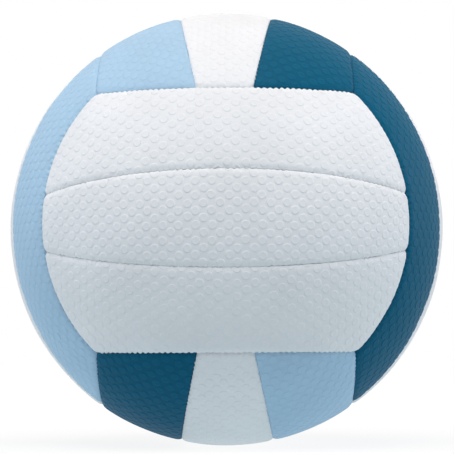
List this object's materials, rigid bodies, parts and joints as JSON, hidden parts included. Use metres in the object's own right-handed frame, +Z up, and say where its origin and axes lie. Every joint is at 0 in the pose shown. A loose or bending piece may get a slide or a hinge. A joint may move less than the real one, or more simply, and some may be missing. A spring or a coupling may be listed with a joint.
{
  "type": "beach volleyball",
  "caption": "Sewn beach volleyball with padded strip panels over foam and cloth, a rubber bladder inside and a flush needle valve in the back.",
  "frame": {"origin": "the centre of the ball, which is also the centre of its box", "axes": "+Z up as pictured, -Y out of the middle of the white front face that the picture shows, +Y out of the needle valve in the middle of the back face, +X to the right as pictured"},
  "size_m": [0.2132, 0.2131, 0.2132],
  "materials": {
    "cover_white": "matte pimpled synthetic leather",
    "cover_light_blue": "matte pimpled synthetic leather",
    "cover_dark_blue": "matte pimpled synthetic leather",
    "foam": "closed-cell sponge foam",
    "lining": "plain woven cloth",
    "thread": "twisted polyester thread",
    "bladder_rubber": "smooth butyl rubber",
    "valve_rubber": "moulded rubber",
    "insert_rubber": "moulded rubber"
  },
  "bodies": {
    "root": {"front_upper_cover": "cover_white", "front_middle_cover": "cover_white", "front_lower_cover": "cover_white", "back_upper_cover": "cover_white", "back_middle_cover": "cover_white", "back_lower_cover": "cover_white", "bottom_right_cover": "cover_light_blue", "bottom_middle_cover": "cover_white", "bottom_left_cover": "cover_dark_blue", "top_right_cover": "cover_dark_blue", "top_middle_cover": "cover_white", "top_left_cover": "cover_light_blue", "left_back_cover": "cover_dark_blue", "left_middle_cover": "cover_white", "left_front_cover": "cover_light_blue", "right_back_cover": "cover_light_blue", "right_middle_cover": "cover_white", "right_front_cover": "cover_dark_blue", "front_upper_foam": "foam", "front_middle_foam": "foam", "front_lower_foam": "foam", "back_upper_foam": "foam", "back_middle_foam": "foam", "back_lower_foam": "foam", "bottom_right_foam": "foam", "bottom_middle_foam": "foam", "bottom_left_foam": "foam", "top_right_foam": "foam", "top_middle_foam": "foam", "top_left_foam": "foam", "left_back_foam": "foam", "left_middle_foam": "foam", "left_front_foam": "foam", "right_back_foam": "foam", "right_middle_foam": "foam", "right_front_foam": "foam", "front_upper_lining": "lining", "front_middle_lining": "lining", "front_lower_lining": "lining", "back_upper_lining": "lining", "back_middle_lining": "lining", "back_lower_lining": "lining", "bottom_right_lining": "lining", "bottom_middle_lining": "lining", "bottom_left_lining": "lining", "top_right_lining": "lining", "top_middle_lining": "lining", "top_left_lining": "lining", "left_back_lining": "lining", "left_middle_lining": "lining", "left_front_lining": "lining", "right_back_lining": "lining", "right_middle_lining": "lining", "right_front_lining": "lining", "seam_thread": "thread", "bladder": "bladder_rubber", "bladder_patch": "bladder_rubber", "valve_housing": "valve_rubber", "valve_insert": "insert_rubber"}
  },
  "joints": []
}
